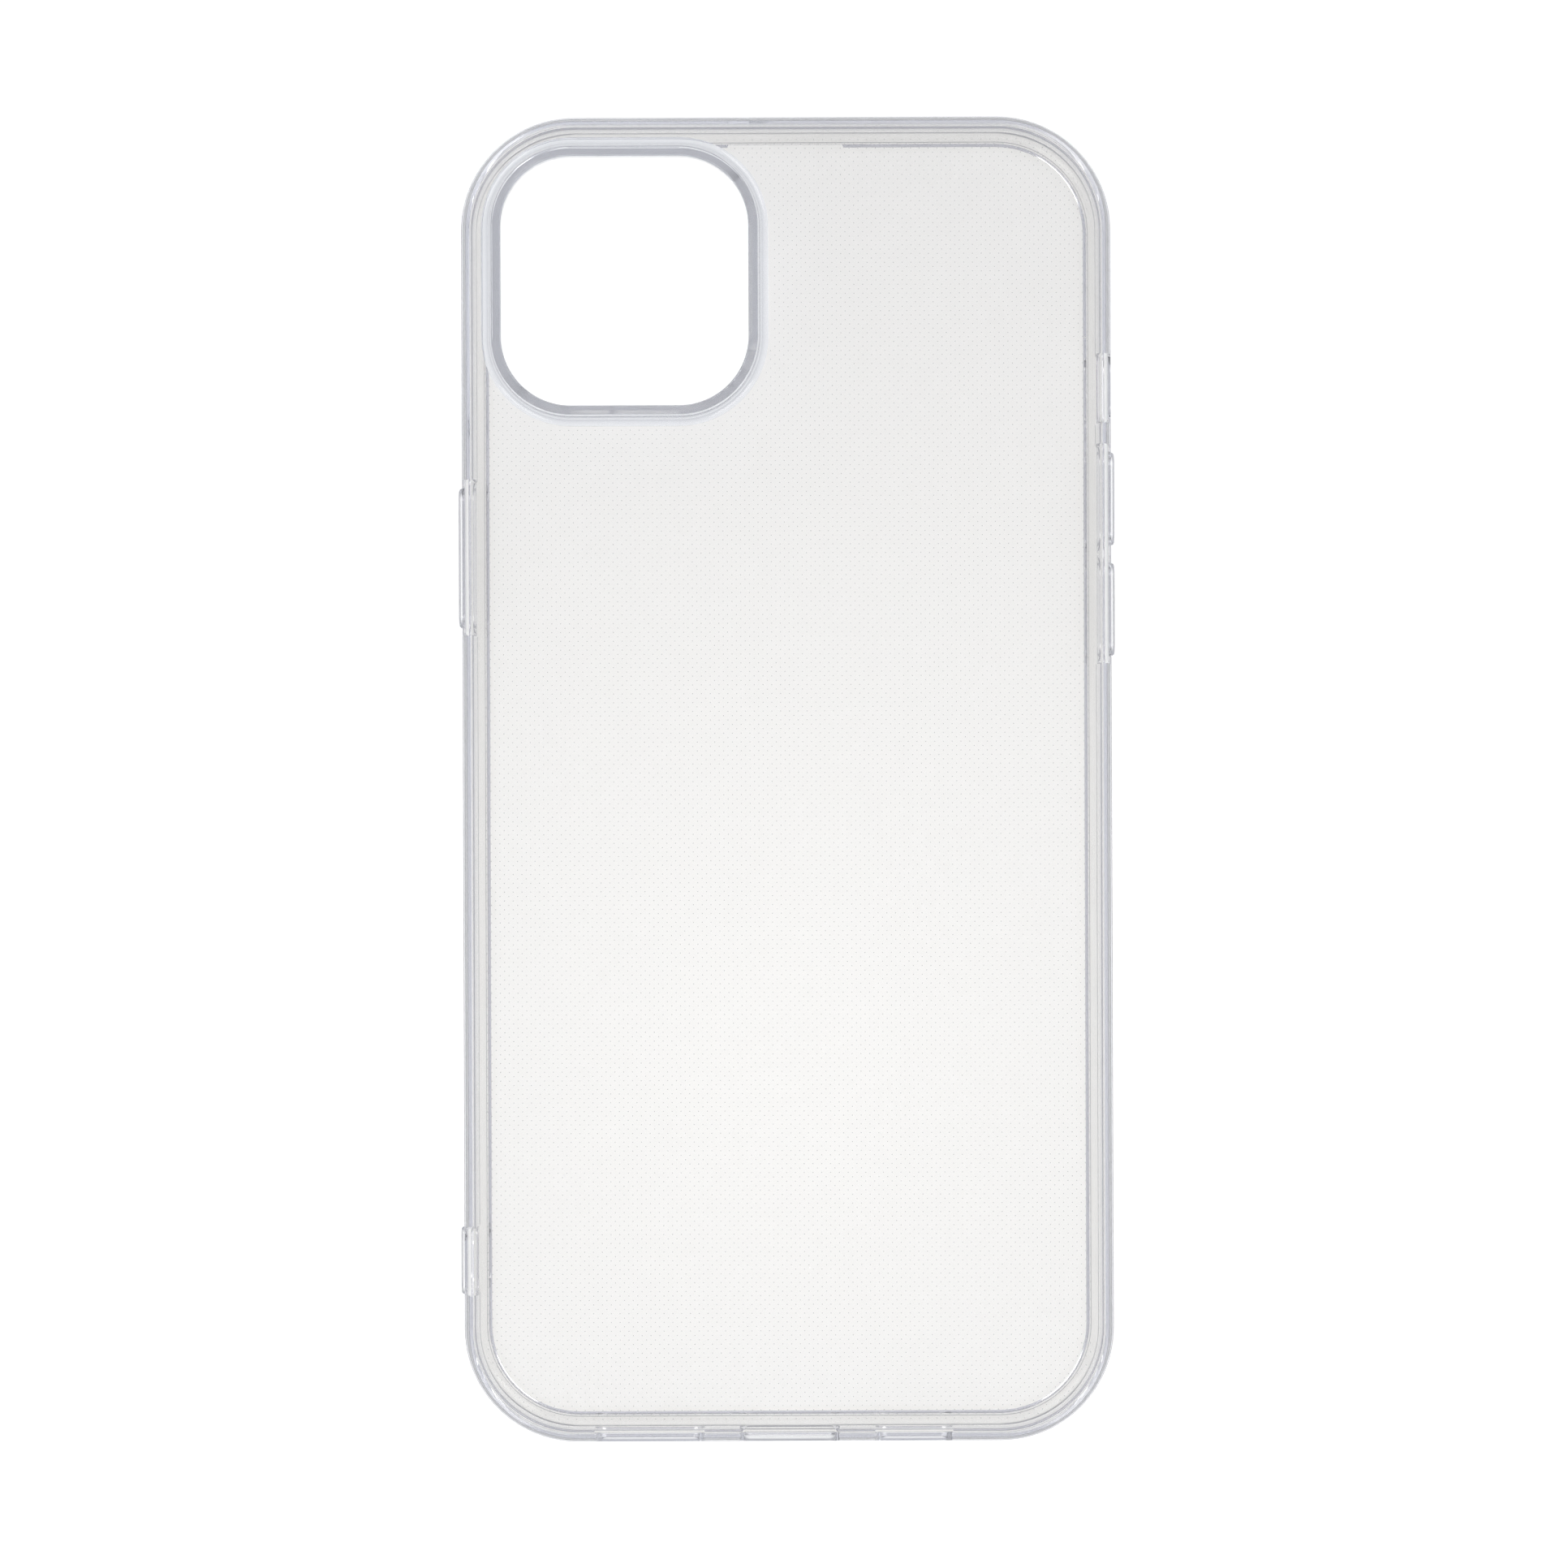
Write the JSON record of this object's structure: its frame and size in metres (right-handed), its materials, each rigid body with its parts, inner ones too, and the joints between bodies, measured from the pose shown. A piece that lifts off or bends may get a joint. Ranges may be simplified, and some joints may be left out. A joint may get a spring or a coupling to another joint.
{
  "type": "phone case",
  "caption": "Slim clear phone case with a soft wrap-round frame, raised camera guard, pressable side keys, port slots and a strap bar.",
  "frame": {"origin": "middle of the case's footprint, on the plane that the front lip rests on", "axes": "+X to the volume-button side, +Y to the camera end, +Z out of the back; the case lies face down"},
  "size_m": [0.0812, 0.1634, 0.0124],
  "materials": {
    "clear_plate": "polished clear moulding, fine anti-stick dots on the inner face",
    "clear_frame": "clear soft thermoplastic, glossy, faint cool tint",
    "clear_guard": "clear soft thermoplastic, glossy, faint cool tint",
    "clear_key": "clear soft thermoplastic, glossy"
  },
  "bodies": {
    "shell": {"back_panel": "clear_plate", "bumper_frame": "clear_frame", "camera_guard": "clear_guard", "strap_bar": "clear_frame"},
    "power_key": {"power_button": "clear_key"},
    "volume_up_key": {"volume_up_button": "clear_key"},
    "volume_down_key": {"volume_down_button": "clear_key"}
  },
  "joints": [
    {"name": "power_press", "type": "slide", "parent": "shell", "child": "power_key", "axis": [1, 0, 0], "range_m": [0, 0.00025], "stiffness_N_per_m": 2000},
    {"name": "volume_up_press", "type": "slide", "parent": "shell", "child": "volume_up_key", "axis": [-1, 0, 0], "range_m": [0, 0.00025], "stiffness_N_per_m": 2000},
    {"name": "volume_down_press", "type": "slide", "parent": "shell", "child": "volume_down_key", "axis": [-1, 0, 0], "range_m": [0, 0.00025], "stiffness_N_per_m": 2000}
  ]
}
